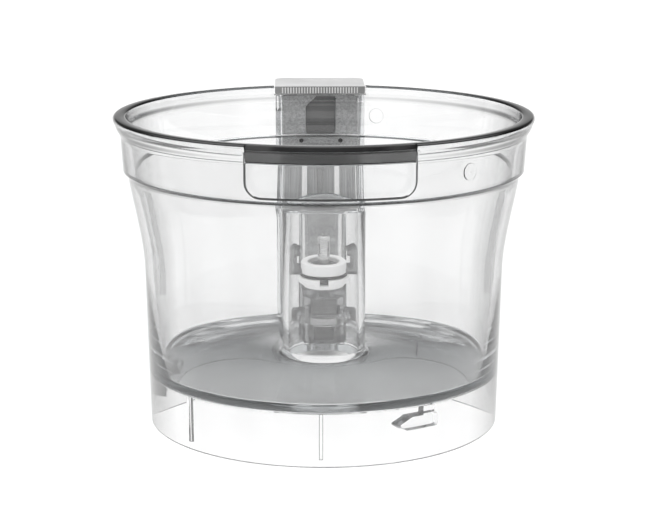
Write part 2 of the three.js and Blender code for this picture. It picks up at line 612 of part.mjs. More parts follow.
function buildInterlock() {
  const [z0, z1] = SLIDER_Z;
  const left = ROD_X - SLIDER_W / 2;
  const right = ROD_X + SLIDER_W / 2;
  const outline = shapeOf([[left, z0], [right, z0], [right, z1 - 2], [right - 0.6, z1 - 0.6], [right - 2, z1],
    [left + 4.8, z1], [left, z1 - 5.6]]);
  const block = alongY(outline, PANEL_Y[1] + 0.5, 97.4);
  const arm = box([ROD_X - 6, 97, ARM_Z], [ROD_X + 6, 107.6, z1 - 0.4]);
  piece(interlock, "interlock_slider", block.add(arm), DARK);

  const rod = box([ROD_X - ROD_W / 2, ROD_Y[0], 16.3], [ROD_X + ROD_W / 2, ROD_Y[1], z0 - GAP]);
  piece(interlock, "push_rod", rod, CORE_GREY);
  const foot = alongY(roundedRectangle(ROD_X - 7.5, 9, ROD_X + 7.5, 16, 0, 2.5), ROD_Y[0], ROD_Y[1]);
  piece(interlock, "rod_foot", foot, DARK);

  const turns = 5.5;
  const low = LOCK_Z[0] + LOCK_FLOOR + 2 * GAP + 1 + SPRING_WIRE / 2;
  const rise = ARM_Z - GAP - SPRING_WIRE / 2 - low;
  class Helix extends THREE.Curve {
    getPoint(t, target = new THREE.Vector3()) {
      const angle = t * turns * 2 * Math.PI;
      return target.set(SPRING_R * Math.cos(angle), SPRING_R * Math.sin(angle), t * rise);
    }
  }
  const wire = new THREE.Shape();
  wire.absarc(0, 0, SPRING_WIRE / 2, 0, 2 * Math.PI);
  const options = { steps: Math.round(turns * 12), extrudePath: new Helix(), curveSegments: 3 };
  const coil = new THREE.ExtrudeGeometry(wire, options);
  coil.translate(ROD_X, SPRING_Y, low);
  piece(handle, "return_spring", solid(coil), SPRING_STEEL);
}

buildBowl();
buildBearing();
buildDrive();
const clearance = bowlClearance();
buildLock(clearance);
buildCap();
buildSpine(clearance);
buildGrip();
buildInterlock();

export default part;
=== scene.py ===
"""Visual model of the clear food processor bowl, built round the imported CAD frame.

Shapes are written in millimetres in the bowl's frame: +Z up, +Y towards the handle, and the bowl's
own axis is X = Y = 0. `place` turns them into metres in the row frame.
"""

import math

import bmesh
import bpy
from mathutils import Matrix, Vector
from mathutils.geometry import tessellate_polygon


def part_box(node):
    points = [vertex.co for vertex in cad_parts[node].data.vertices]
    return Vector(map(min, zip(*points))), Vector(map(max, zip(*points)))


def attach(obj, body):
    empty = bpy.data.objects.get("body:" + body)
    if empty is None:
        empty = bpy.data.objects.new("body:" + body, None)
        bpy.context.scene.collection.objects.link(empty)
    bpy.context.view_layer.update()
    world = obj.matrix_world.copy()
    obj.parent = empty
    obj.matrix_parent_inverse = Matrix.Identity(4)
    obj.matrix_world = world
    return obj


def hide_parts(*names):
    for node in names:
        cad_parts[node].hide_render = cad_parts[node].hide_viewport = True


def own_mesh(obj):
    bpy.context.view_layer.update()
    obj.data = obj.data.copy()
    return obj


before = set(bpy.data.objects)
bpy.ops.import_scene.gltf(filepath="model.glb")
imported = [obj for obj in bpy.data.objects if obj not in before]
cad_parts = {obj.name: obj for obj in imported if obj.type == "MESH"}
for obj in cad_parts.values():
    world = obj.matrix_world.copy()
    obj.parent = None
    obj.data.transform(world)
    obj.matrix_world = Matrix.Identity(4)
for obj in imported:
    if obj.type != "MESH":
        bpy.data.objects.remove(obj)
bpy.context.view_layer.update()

# ------------------------------------------------------------------ sizes, from the CAD frame

MM = 0.001
GAP = 0.3


def low(node):
    """Lowest corner of a CAD node, in millimetres in the bowl's frame."""
    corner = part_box(node)[0] / MM
    return Vector((corner.x, corner.y - AXIS_Y, corner.z))


def high(node):
    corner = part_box(node)[1] / MM
    return Vector((corner.x, corner.y - AXIS_Y, corner.z))


AXIS_Y = sum(corner.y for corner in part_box("centre_tube")) / 2 / MM
RIM_R = high("bowl_wall").x
RIM_Z = high("bowl_wall").z
FLOOR_Z = high("bowl_floor").z
FLOOR_UNDER_Z = low("bowl_floor").z
TUBE_TOP_Z = high("centre_tube").z
PAD_AZIMUTH = -89.3
BASE_R = 75.9
SKIRT_R = 73.9
BORE_R = 72.9
WAIST = (77.5, 68)
SHOULDER = (83.8, 107.2)
COLLAR = (86, 111)
BEAD = (86.9, 125)
COLLAR_WALL = 3.65
WALL = 3.3
TUBE_R = 18.1
TUBE_BORE_R = 15.4
TUBE_FOOT_R = high("centre_tube").x

SMOOTH_ANGLE = math.radians(28)


# ------------------------------------------------------------------ outlines


def quad(a, c, b, steps=6):
    """Points of a quadratic curve after its start a."""
    ts = [(i + 1) / steps for i in range(steps)]
    return [tuple((1 - t) ** 2 * p + 2 * t * (1 - t) * q + t * t * r for p, q, r in zip(a, c, b)) for t in ts]


def bezier(a, c, d, b, steps=12):
    """Points of a cubic curve after its start a."""
    ts = [(i + 1) / steps for i in range(steps)]
    return [
        tuple(
            (1 - t) ** 3 * p + 3 * t * (1 - t) ** 2 * q + 3 * t * t * (1 - t) * r + t**3 * s
            for p, q, r, s in zip(a, c, d, b)
        )
        for t in ts
    ]


def fillet(points, radius, steps=3, least=20):
    """A closed outline with each corner sharper than `least` degrees rounded."""
    out = []
    for i, point in enumerate(points):
        a, b, c = Vector(points[i - 1]), Vector(point), Vector(points[(i + 1) % len(points)])
        u, v = a - b, c - b
        turn = math.pi - u.angle(v)
        if turn < math.radians(least):
            out.append(tuple(b))
            continue
        reach = min(radius * math.tan(turn / 2), u.length * 0.45, v.length * 0.45)
        start, end = b + u.normalized() * reach, b + v.normalized() * reach
        out.append(tuple(start))
        out.extend(quad(start, b, end, steps))
    return out


def rounded_rectangle(x0, z0, x1, z1, top=0.0, bottom=0.0, steps=6):
    points = []
    corners = ((x1, z0, bottom, -90), (x1, z1, top, 0), (x0, z1, top, 90), (x0, z0, bottom, 180))
    for x, z, radius, turn in corners:
        if not radius:
            points.append((x, z))
            continue
        cx = x - radius if x == x1 else x + radius
        cz = z - radius if z == z1 else z + radius
        for i in range(steps + 1):
            angle = math.radians(turn + 90 * i / steps)
            points.append((cx + radius * math.cos(angle), cz + radius * math.sin(angle)))
    return points


# ------------------------------------------------------------------ solids


def place(point):
    x, y, z = point
    return (x * MM, (y + AXIS_Y) * MM, z * MM)


def build(name, points, faces):
    mesh = bpy.data.meshes.new(name)
    mesh.from_pydata([place(p) for p in points], [], faces)
    bm = bmesh.new()
    bm.from_mesh(mesh)
    bmesh.ops.recalc_face_normals(bm, faces=bm.faces)
    bm.to_mesh(mesh)
    bm.free()
    piece = bpy.data.objects.new(name, mesh)
    bpy.context.scene.collection.objects.link(piece)
    return piece


def revolve(name, profile, segments=96, at=(0, 0, 0), along="Z"):
    """Closed profile of (radius, height) points turned round a line through `at`."""
    points, rows = [], []
    for radius, height in profile:
        count = 1 if radius < 1e-6 else segments
        rows.append([len(points) + i for i in range(count)])
        for i in range(count):
            angle = 2 * math.pi * i / segments
            u, v = radius * math.cos(angle), radius * math.sin(angle)
            x, y, z = (u, v, height) if along == "Z" else (u, height, -v)
            points.append((x + at[0], y + at[1], z + at[2]))
    faces = []
    for i, row in enumerate(rows):
        after = rows[(i + 1) % len(rows)]
        if len(row) == 1 and len(after) == 1:
            continue
        for k in range(segments):
            n = (k + 1) % segments
            face = [row[k % len(row)], row[n % len(row)], after[n % len(after)], after[k % len(after)]]
            faces.append(tuple(dict.fromkeys(face)))
    return build(name, points, faces)


def ring(name, inner, outer, z0, z1, edge=0.3, segments=96):
    profile = [(inner, z0), (outer, z0), (outer, z1), (inner, z1)]
    return revolve(name, fillet(profile, edge) if edge else profile, segments)


def prism(name, outline, start, end, along="Y", edge=0.0, steps=2):
    """Outline extruded along Y (its points are x, z), X (y, z) or Z (x, y), its edges rounded by `edge`."""
    axes = {
        "Y": lambda u, v, w: (u, w, v),
        "X": lambda u, v, w: (w, u, v),
        "Z": lambda u, v, w: (u, v, w),
    }[along]
    n = len(outline)
    points = [axes(u, v, w) for w in (start, end) for u, v in outline]
    faces = [tuple(range(n)), tuple(range(2 * n - 1, n - 1, -1))]
    faces += [(i, (i + 1) % n, n + (i + 1) % n, n + i) for i in range(n)]
    piece = build(name, points, faces)
    if edge:
        soften(piece, edge, steps)
    return piece


def block(name, corner, opposite, edge=0.3, steps=2):
    (x0, y0, z0), (x1, y1, z1) = corner, opposite
    return prism(name, [(x0, z0), (x1, z0), (x1, z1), (x0, z1)], y0, y1, "Y", edge, steps)


def soften(piece, width, steps=2, least=35):
    """Rounds the edges of a simple solid that are sharper than `least` degrees."""
    bm = bmesh.new()
    bm.from_mesh(piece.data)
    edges = [e for e in bm.edges if len(e.link_faces) == 2 and e.calc_face_angle() > math.radians(least)]
    bmesh.ops.bevel(
        bm, geom=edges, offset=width * MM, segments=steps, profile=0.5, affect="EDGES", clamp_overlap=True
    )
    bm.to_mesh(piece.data)
    bm.free()


def combine(piece, tool, operation):
    """Joins or cuts piece with tool, which is used up."""
    cut = piece.modifiers.new("cut", "BOOLEAN")
    cut.operation = operation
    cut.object = tool
    cut.solver = "MANIFOLD"
    evaluated = piece.evaluated_get(bpy.context.evaluated_depsgraph_get())
    mesh = bpy.data.meshes.new_from_object(evaluated)
    piece.modifiers.clear()
    piece.data = mesh
    bpy.data.objects.remove(tool)
    return piece


def add(piece, *tools):
    for tool in tools:
        combine(piece, tool, "UNION")
    return piece


def cut(piece, *tools):
    for tool in tools:
        combine(piece, tool, "DIFFERENCE")
    return piece


def keep(piece, tool):
    return combine(piece, tool, "INTERSECT")


def turn(piece, degrees):
    """Turns a solid built facing -Y to another azimuth round the bowl's axis."""
    centre = Vector(place((0, 0, 0)))
    spin = Matrix.Rotation(math.radians(degrees + 90), 4, "Z")
    piece.data.transform(Matrix.Translation(centre) @ spin @ Matrix.Translation(-centre))
    return piece


def finish_piece(piece, body, slot, material, *nodes):
    """Shades a piece, gives it its material and body, and hides the CAD nodes it stands for."""
    mesh = piece.data
    mesh.materials.clear()
    mesh.materials.append(material)
    mesh.shade_smooth()
    mesh.set_sharp_from_angle(angle=SMOOTH_ANGLE)
    if material.get("lets_light_through"):
        piece.visible_shadow = False
        piece.visible_diffuse = False
    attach(piece, body)
    if nodes:
        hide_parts(*nodes)
    return piece


# ------------------------------------------------------------------ materials


def new_material(name):
    material = bpy.data.materials.new(name)
    material.use_nodes = True
    nodes, links = material.node_tree.nodes, material.node_tree.links
    shader = nodes["Principled BSDF"]
    place_node = nodes.new("ShaderNodeTexCoord")
    return material, nodes, links, shader, place_node.outputs["Object"]


def noise(nodes, links, where, scale, detail=2.0, stretch=None):
    """Noise in the row frame; scale is features per metre."""
    if stretch:
        mapping = nodes.new("ShaderNodeMapping")
        mapping.inputs["Scale"].default_value = stretch
        links.new(where, mapping.inputs["Vector"])
        where = mapping.outputs["Vector"]
    texture = nodes.new("ShaderNodeTexNoise")
    texture.inputs["Scale"].default_value = scale
    texture.inputs["Detail"].default_value = detail
    links.new(where, texture.inputs["Vector"])
    return texture.outputs["Fac"]


def ranged(nodes, links, value, low_out, high_out, low_in=0.3, high_in=0.7):
    node = nodes.new("ShaderNodeMapRange")
    limits = {"From Min": low_in, "From Max": high_in, "To Min": low_out, "To Max": high_out}
    for socket, number in limits.items():
        node.inputs[socket].default_value = number
    links.new(value, node.inputs["Value"])
    return node.outputs["Result"]


def ramp(nodes, links, value, stops):
    node = nodes.new("ShaderNodeValToRGB")
    elements = node.color_ramp.elements
    while len(elements) < len(stops):
        elements.new(1.0)
    for element, (position, color) in zip(elements, stops):
        element.position = position
        element.color = (*color, 1)
    links.new(value, node.inputs["Fac"])
    return node.outputs["Color"]


def bump(nodes, links, shader, height, strength, distance):
    node = nodes.new("ShaderNodeBump")
    node.inputs["Strength"].default_value = strength
    node.inputs["Distance"].default_value = distance
    links.new(height, node.inputs["Height"])
    links.new(node.outputs["Normal"], shader.inputs["Normal"])


def grey(value, blue=0.0):
    return (value - blue / 2, value, value + blue / 2)


# Painted shade: the rim and ledge tints change from dark in front of this span to light behind it, by place
# along Y.
REAR_TINT_Y = (40, 75)  # where the rear tint sets in and where it is full, behind the bowl's axis


def clear_plastic(
    name, tint, absorb=13.0, colour=(0.46, 0.5, 0.52), roughness=(0.0, 0.012), rear=None, veil=0.0
):
    """Injection moulded polycarbonate: faint flow waviness, fine wear in the gloss, and a slight grey body.

    Its tint falls towards black at a glancing angle: painted shade for the dark edges that dim
    surroundings give clear plastic. `rear` is the tint towards the handle, where it differs, so that this
    painted shade is dark at the front and light behind, and `veil` is the share of light that the surface
    scatters instead of passing.
    """
    material, nodes, links, shader, where = new_material(name)
    shader.inputs["Transmission Weight"].default_value = 1.0 - veil
    shader.inputs["IOR"].default_value = 1.57
    flow = noise(nodes, links, where, 55, 2.0, (1, 1, 0.35))
    wear = noise(nodes, links, where, 900, 3.0, (1, 1, 3))
    links.new(ranged(nodes, links, wear, *roughness, 0.45, 0.75), shader.inputs["Roughness"])
    body = ramp(nodes, links, flow, [(0.3, grey(tint[0])), (0.7, grey(tint[1]))])
    # Painted shade: the tint blends by place along Y, dark at the front and light towards the handle.
    if rear:
        split = nodes.new("ShaderNodeSeparateXYZ")
        links.new(where, split.inputs["Vector"])
        behind = ramp(nodes, links, flow, [(0.3, grey(rear[0])), (0.7, grey(rear[1]))])
        blend = nodes.new("ShaderNodeMix")
        blend.data_type = "RGBA"
        start, end = ((AXIS_Y + y) * MM for y in REAR_TINT_Y)
        links.new(ranged(nodes, links, split.outputs["Y"], 0, 1, start, end), blend.inputs["Factor"])
        links.new(body, blend.inputs[6])
        links.new(behind, blend.inputs[7])
        body = blend.outputs[2]
    # Painted shade: the tint falls towards black as the surface turns edge-on, for the dark edges that dim
    # surroundings give clear plastic.
    painted_edge_shade_weight = nodes.new("ShaderNodeLayerWeight")
    painted_edge_shade_weight.inputs["Blend"].default_value = 0.5
    edge = ramp(
        nodes, links, painted_edge_shade_weight.outputs["Facing"],
        [(0.0, grey(1.0)), (0.5, grey(0.97)), (0.7, grey(0.55)), (0.78, grey(0.38)), (0.87, grey(0.07)),
         (0.95, grey(0.01)), (1.0, grey(0.0))],
    )
    links.new(multiplied(nodes, links, body, edge), shader.inputs["Base Color"])
    bump(nodes, links, shader, flow, 0.02, 0.0006)
    inside = nodes.new("ShaderNodeVolumeAbsorption")
    inside.inputs["Color"].default_value = (*colour, 1)
    inside.inputs["Density"].default_value = absorb
    links.new(inside.outputs["Volume"], nodes["Material Output"].inputs["Volume"])
    material["lets_light_through"] = True
    return material


def multiplied(nodes, links, one, other):
    mix = nodes.new("ShaderNodeMix")
    mix.data_type = "RGBA"
    mix.blend_type = "MULTIPLY"
    mix.inputs["Factor"].default_value = 1.0
    links.new(one, mix.inputs[6])
    links.new(other, mix.inputs[7])
    return mix.outputs[2]


def moulded(name, dark, light, roughness, grain=2200, depth=0.00005, blue=0.0, transmission=0.0, sparkle=0.0):
    """Opaque or frosted moulded plastic with a fine spark-eroded grain and slow colour drift."""
    material, nodes, links, shader, where = new_material(name)
    drift = noise(nodes, links, where, 70, 3.0)
    fine = noise(nodes, links, where, grain, 3.0)
    colour = ramp(nodes, links, drift, [(0.3, grey(dark, blue)), (0.7, grey(light, blue))])
    if sparkle:
        speck = ramp(nodes, links, fine, [(0.35, grey(1 - sparkle)), (0.62, grey(1.0))])
        colour = multiplied(nodes, links, colour, speck)
    links.new(colour, shader.inputs["Base Color"])
    links.new(ranged(nodes, links, fine, roughness - 0.07, roughness + 0.07), shader.inputs["Roughness"])
    shader.inputs["Transmission Weight"].default_value = transmission
    bump(nodes, links, shader, fine, 0.5, depth)
    return material


def brushed_metal(name, value, roughness):
    material, nodes, links, shader, where = new_material(name)
    shader.inputs["Metallic"].default_value = 1.0
    lines = noise(nodes, links, where, 500, 3.0, (1, 1, 12))
    colour = ramp(nodes, links, lines, [(0.3, grey(value - 0.08)), (0.7, grey(value + 0.04))])
    links.new(colour, shader.inputs["Base Color"])
    links.new(ranged(nodes, links, lines, roughness - 0.06, roughness + 0.08), shader.inputs["Roughness"])
    bump(nodes, links, shader, lines, 0.2, 0.00002)
    return material


CLEAR = clear_plastic("clear_polycarbonate", (0.91, 0.95))
# Partly painted shade: a darker grey tint on the floor's top face for the grey that reflection gives it, with
# a tenth of the light scattered by its surface.
FLOOR_PAINTED_SHADE = clear_plastic("clear_floor_painted_shade", (0.80, 0.84), veil=0.10)
CLEAR_GREY = clear_plastic("clear_grey_plastic", (0.45, 0.55), 30.0, (0.4, 0.42, 0.44), (0.02, 0.09))
# Painted shade: near-black tint for the dark line that refraction draws along the rim's front, light towards
# the handle.
RIM_PAINTED_SHADE = clear_plastic("clear_rim_painted_shade", (0.003, 0.008), rear=(0.75, 0.85))
# Painted shade: dark tint for the dark line along the collar's ledge, light towards the handle.
STEP_PAINTED_SHADE = clear_plastic("clear_step_painted_shade", (0.10, 0.16), rear=(0.65, 0.75))
# Painted shade: dark tint for the dark lines that refraction draws on the sides of small details.
DETAIL_PAINTED_SHADE = clear_plastic("clear_detail_painted_shade", (0.10, 0.16))
# Painted shade: dark tint for the dark line that refraction draws round the front pad's edge.
PAD_PAINTED_SHADE = clear_plastic("clear_pad_painted_shade", (0.08, 0.12))
# Painted shade: grey tint on the fins' sides for the thin dark marks that refraction draws there.
FIN_SIDE_PAINTED_SHADE = clear_plastic("clear_fin_side_painted_shade", (0.66, 0.72))
SMOKED = clear_plastic("smoked_plastic", (0.10, 0.15), 60.0, (0.25, 0.26, 0.27), (0.02, 0.06))
HOOK = clear_plastic("smoked_hook_plastic", (0.30, 0.42), 60.0, (0.25, 0.26, 0.27), (0.0, 0.03))
FROSTED = moulded("frosted_plastic", 0.44, 0.56, 0.5, 1300, 0.00015, 0.01, 0.25, 0.4)
PALE = moulded("pale_plastic", 0.60, 0.68, 0.45, 1800, 0.00005)
WHITE = moulded("white_acetal", 0.84, 0.9, 0.34, 1500, 0.00002)
DARK = moulded("dark_plastic", 0.10, 0.14, 0.42, 1800, 0.00004)
BLACK = moulded("black_rubber", 0.012, 0.022, 0.5, 1600, 0.00004)
CORE_GREY = moulded("grey_core_plastic", 0.20, 0.25, 0.4, 1700, 0.00004)
CAP_PALE = moulded("cap_plastic", 0.60, 0.68, 0.45, 1800, 0.00005)
# Painted shade for the grooves between the cap's ribs.
CAP_GROOVE_PAINTED_SHADE = moulded("cap_groove_painted_shade", 0.20, 0.26, 0.5, 1800, 0.00005)
GRIP_GREY = moulded("grip_plastic", 0.46, 0.54, 0.5, 1300, 0.0001, 0.01)
STEEL = brushed_metal("brushed_steel", 0.7, 0.24)
SPRING_STEEL = brushed_metal("spring_steel", 0.6, 0.3)


# ------------------------------------------------------------------ the bowl moulding

BOWL_SEGMENTS = 256
PAD_Z = 112.4
PAD_HALF = 34
PAD_R = 89.9
FIN_Z = (62, 107)
FIN_AZIMUTHS = (-155, -25)  # tapered ribs inside the wall; azimuths are degrees from +X
LUG_Z = (13, 18.5)
LUG_R = 67.9
LUG_AZIMUTHS = (-56, 64, 184)
SKIRT_RIB_AZIMUTHS = (-139, -92, 49)
GATE_MARK_AZIMUTHS = (-49, 72)
NOTCH_Z = 130  # foot of the notch in the rim that takes the handle's cap
HALF = 21.2  # half the width of the lock housing and the spine channel


def flare_up(inset=0.0, steps=16):
    a, b = (WAIST[0] - inset, WAIST[1]), (SHOULDER[0] - inset, SHOULDER[1])
    return bezier(a, (a[0] + 0.4, a[1] + 13.1), (b[0] - 2.15, b[1] - 13), b, steps)


def outside(grow=0.0):
    """The bowl's outside from its foot to the outer edge of the rim."""
    top_r = BEAD[0] + grow
    points = [(BASE_R + grow, 0.3), (WAIST[0] + grow, WAIST[1])]
    points += flare_up(-grow)
    points += quad(points[-1], (SHOULDER[0] + 0.5 + grow, COLLAR[1] - 0.8), (COLLAR[0] + grow, COLLAR[1]), 5)
    points.append((top_r, BEAD[1]))
    bead_low, bead_high = (RIM_R - 1.1 + grow, RIM_Z - 5.6), (RIM_R - 0.6 + grow, RIM_Z - 2.8)
    points += bezier(points[-1], (top_r + 0.2, 127.4), bead_low, bead_high, 8)
    points.append((RIM_R + grow, RIM_Z - 1.3))
    return points


def moulding_profile():
    points = [(BASE_R - 0.3, 0)] + outside()
    points += quad(points[-1], (RIM_R, RIM_Z), (RIM_R - 1.2, RIM_Z), 5)
    points.append((RIM_R - 4.8, RIM_Z))
    points += quad(points[-1], (RIM_R - 5.6, RIM_Z), (RIM_R - 5.6, RIM_Z - 1), 4)
    points += quad(points[-1], (RIM_R - 6, BEAD[1] + 4), (BEAD[0] - COLLAR_WALL, BEAD[1]), 5)
    collar_in, shoulder_in = COLLAR[0] - COLLAR_WALL, SHOULDER[0] - WALL
    points += quad(points[-1], (collar_in, COLLAR[1] + 0.2), (collar_in - 0.5, COLLAR[1]), 1)
    points += quad(points[-1], (shoulder_in + 0.2, COLLAR[1]), (shoulder_in + 0.1, COLLAR[1] - 0.6), 4)
    points.append((shoulder_in, SHOULDER[1]))
    down = [(WAIST[0] - WALL, WAIST[1])] + flare_up(WALL)
    points += down[-2::-1]
    points.append((BORE_R + 0.01, FLOOR_Z + 0.5))
    points += quad(points[-1], (BORE_R, FLOOR_Z), (BORE_R - 0.5, FLOOR_Z), 3)
    points.append((TUBE_FOOT_R, FLOOR_Z))
    points += quad(points[-1], (TUBE_R, FLOOR_Z + 0.4), (TUBE_R, FLOOR_Z + 3.4), 6)
    points.append((TUBE_R, TUBE_TOP_Z - 1.6))
    points += quad(points[-1], (TUBE_R, TUBE_TOP_Z), (TUBE_R - 1.4, TUBE_TOP_Z), 5)
    points.append((TUBE_BORE_R + 0.6, TUBE_TOP_Z))
    points += quad(points[-1], (TUBE_BORE_R, TUBE_TOP_Z), (TUBE_BORE_R, TUBE_TOP_Z - 0.6), 3)
    points.append((TUBE_BORE_R, FLOOR_UNDER_Z + 0.5))
    points += quad(points[-1], (TUBE_BORE_R, FLOOR_UNDER_Z), (TUBE_BORE_R + 0.5, FLOOR_UNDER_Z), 3)
    points.append((SKIRT_R - 1.0, FLOOR_UNDER_Z))
    points += quad(points[-1], (SKIRT_R, FLOOR_UNDER_Z), (SKIRT_R, FLOOR_UNDER_Z - 1.0), 4)
    points.append((SKIRT_R, 0.3))
    points += quad(points[-1], (SKIRT_R, 0), (SKIRT_R + 0.3, 0), 3)
    return points


def front_sector(name, inner, outer, z0, z1, half, steps=48):
    """Sector of a ring centred on the front."""
    angles = [math.radians(-90 - half + 2 * half * i / steps) for i in range(steps + 1)]
    outline = [(outer * math.cos(a), outer * math.sin(a)) for a in angles]
    outline += [(inner * math.cos(a), inner * math.sin(a)) for a in reversed(angles)]
    return prism(name, outline, z0, z1, "Z")


def fin(name):
    z0, z1 = FIN_Z
    blade = prism(name, [(-0.2, z0), (0.2, z0), (1.75, z1), (-1.75, z1)], -84, -68, "Y")
    outer = [(WAIST[0] - WALL + 1.2, z0 - 1), (WAIST[0] - WALL + 1.2, WAIST[1])] + flare_up(WALL - 1.2)
    inner = [(WAIST[0] - WALL - 2, z0 - 1), (WAIST[0] - WALL - 2, WAIST[1])] + flare_up(WALL + 2)
    return keep(blade, revolve("fin_shell", outer + inner[::-1], BOWL_SEGMENTS))


def lug(name):
    z0, z1 = LUG_Z
    outline = [(-14, 15.4), (-10.5, z0), (4.6, z0), (4.6, z1), (-8, z1)]
    bar = prism(name, fillet(outline, 0.8, 3), -76, -64, "Y")
    stem = prism("stem", [(-2.75, z1 - 0.5), (2.75, z1 - 0.5), (2.75, 22.3), (-2.75, 22.3)], -76, -70.4, "Y")
    inner, outer = LUG_R, SKIRT_R + 0.6
    shell = revolve("lug_shell", [(inner, 5), (outer, 5), (outer, 23), (inner, 23)], BOWL_SEGMENTS)
    return keep(add(bar, stem), shell)


def front_pad():
    """Raised pad with a rounded edge, made flat and then wrapped on the collar, whose taper it follows."""
    half = PAD_HALF
    pad = prism("pad", rounded_rectangle(-half, PAD_Z, half, RIM_Z - 2, 0, 6.7, 10), -PAD_R, -84, "Y")
    soften(pad, 1.2, 4, 50)
    bm = bmesh.new()
    bm.from_mesh(pad.data)
    for x in range(2 - half, half, 2):
        geometry = bm.verts[:] + bm.edges[:] + bm.faces[:]
        bmesh.ops.bisect_plane(bm, geom=geometry, plane_co=(x * MM, 0, 0), plane_no=(1, 0, 0))
    for vertex in bm.verts:
        x, y, z = vertex.co / MM
        taper = 0.9 * min(1, max(0, (126 - z) / 14.6))
        radius = AXIS_Y - y - taper
        vertex.co.y = (AXIS_Y - math.sqrt(radius**2 - x**2)) * MM
    bm.to_mesh(pad.data)
    bm.free()
    return pad


def make_bowl():
    bowl = revolve("bowl_moulding", moulding_profile(), BOWL_SEGMENTS)
    add(bowl, turn(front_pad(), PAD_AZIMUTH))
    for azimuth in FIN_AZIMUTHS:
        add(bowl, turn(fin("fin"), azimuth))
    for azimuth in LUG_AZIMUTHS:
        add(bowl, turn(lug("lug"), azimuth))
    for azimuth in SKIRT_RIB_AZIMUTHS:
        rib = block("rib", (-0.8, -SKIRT_R - 0.6, 3), (0.8, -SKIRT_R + 1.3, 22.3), 0.25)
        add(bowl, turn(rib, azimuth))
    for azimuth in GATE_MARK_AZIMUTHS:
        mark = revolve("mark", fillet([(0, 0), (3.5, 0), (3.5, 3), (0, 3)], 0.2), 40, (0, -87, 120), "Y")
        add(bowl, turn(mark, azimuth))
    cut(bowl, turn(front_sector("pocket", 86.6, RIM_R + 3, 126.8, RIM_Z + 3, 22), PAD_AZIMUTH))
    cut(bowl, block("notch", (-HALF - GAP, 70, NOTCH_Z), (HALF + GAP, RIM_R + 2, RIM_Z + 2), 0))
    finish_piece(bowl, "root", "clear", CLEAR, "bowl_wall", "bowl_floor", "centre_tube")
    shade_edges(bowl)

    deep = 86.9
    profile = fillet([(deep, 127.1), (89.3, 127.1), (RIM_R, 127.8), (RIM_R, 131.5), (89.3, 131.7)], 0.3)[:-4]
    profile += [(RIM_R, 131.3), (89.3, 131.7), (89.3, 132), (89.7, 132.2)]
    profile += [(89.1, RIM_Z - 0.3), (88.7, RIM_Z), (deep, RIM_Z)]
    strip = revolve("smoked_strip", profile, BOWL_SEGMENTS)
    keep(strip, turn(front_sector("span", deep - 2, RIM_R + 3, 126, RIM_Z + 1, 21.75), PAD_AZIMUTH))
    finish_piece(strip, "root", "smoked", SMOKED, "front_lock_strip")
    # Painted shade: the strip's top faces take the rim's dark tint, dark at the front and light towards the
    # handle.
    strip.data.materials.append(RIM_PAINTED_SHADE)
    for face in strip.data.polygons:
        if face.center.z / MM > 131.95:
            face.material_index = 1


def shade_edges(bowl):
    """Painted shade: darker tinted plastic on the moulding's rim, ledge and floor, and on the sides of its
    small details, for the dark lines that refraction draws there.
    """
    for material in (RIM_PAINTED_SHADE, STEP_PAINTED_SHADE, DETAIL_PAINTED_SHADE, FLOOR_PAINTED_SHADE, PAD_PAINTED_SHADE, FIN_SIDE_PAINTED_SHADE):
        bowl.data.materials.append(material)
    rim, step, detail, floor, pad, fin_side = range(1, 7)
    for face in bowl.data.polygons:
        x, y, z = face.center / MM
        y -= AXIS_Y
        radius = math.hypot(x, y)
        around = abs(-y * face.normal.x + x * face.normal.y) / radius
        upright = abs(face.normal.z)
        in_notch = y > 70 and abs(x) < HALF + 1 and z > NOTCH_Z - 1
        if radius > 80 and z > RIM_Z - 0.7:
            face.material_index = rim
        elif radius > 80 and COLLAR[1] - 1.2 < z < COLLAR[1] + 0.3 and upright > 0.4:
            face.material_index = step
        elif radius > 60 and around > 0.3 and 60 < z < COLLAR[1] - 1:
            face.material_index = fin_side
        elif radius > 60 and around > 0.3 and (z < FLOOR_UNDER_Z or 60 < z < 131) and not in_notch:
            face.material_index = pad if y < -70 and abs(x) < 36 else detail
        elif radius > 86.5 and PAD_Z - 1 < z < PAD_Z + 1.5 and face.normal.z < -0.2:
            face.material_index = pad
        elif 66 < radius < SKIRT_R - 0.1 and 1 < z < FLOOR_UNDER_Z - 0.7 and upright > 0.5:
            face.material_index = detail
        elif TUBE_FOOT_R < radius < BORE_R and upright > 0.9 and FLOOR_Z - 0.1 < z < FLOOR_Z + 0.1:
            face.material_index = floor


# ------------------------------------------------------------------ the bearing in the tube


def make_bearing():
    seat = low("bearing_bush").z
    outer, top = TUBE_BORE_R - GAP, high("bush_hook_left").z
    hook = [
        (10.3, seat), (outer, seat), (outer, top), (outer - 1, top), (outer - 4.4, top - 1.4),
        (outer - 4.4, top - 3), (outer - 2.2, top - 3.4), (outer - 2.2, seat + 2.6), (10.3, seat + 2.6),
    ]
    for side, azimuth in (("left", 180), ("right", 0)):
        piece = revolve(f"smoked_hook_{side}", fillet(hook, 0.35), 144)
        keep(piece, block("span", (-4.2, -20, seat - 1), (4.2, 0, top + 1), 0))
        finish_piece(turn(piece, azimuth), "root", "smoked", HOOK, f"bush_hook_{side}")
    bush = [(6.85, seat), (10, seat), (10, seat + 4.9), (6.85, seat + 4.9)]
    piece = revolve("white_bush", fillet(bush, 0.8, 5), 96)
    finish_piece(piece, "root", "white", WHITE, "bearing_bush")
    piece = ring("seal_ring", 6.85, 10.4, seat - 0.9, seat - 0.3, 0.2)
    finish_piece(piece, "root", "black", BLACK, "shaft_seal")


# ------------------------------------------------------------------ the drive


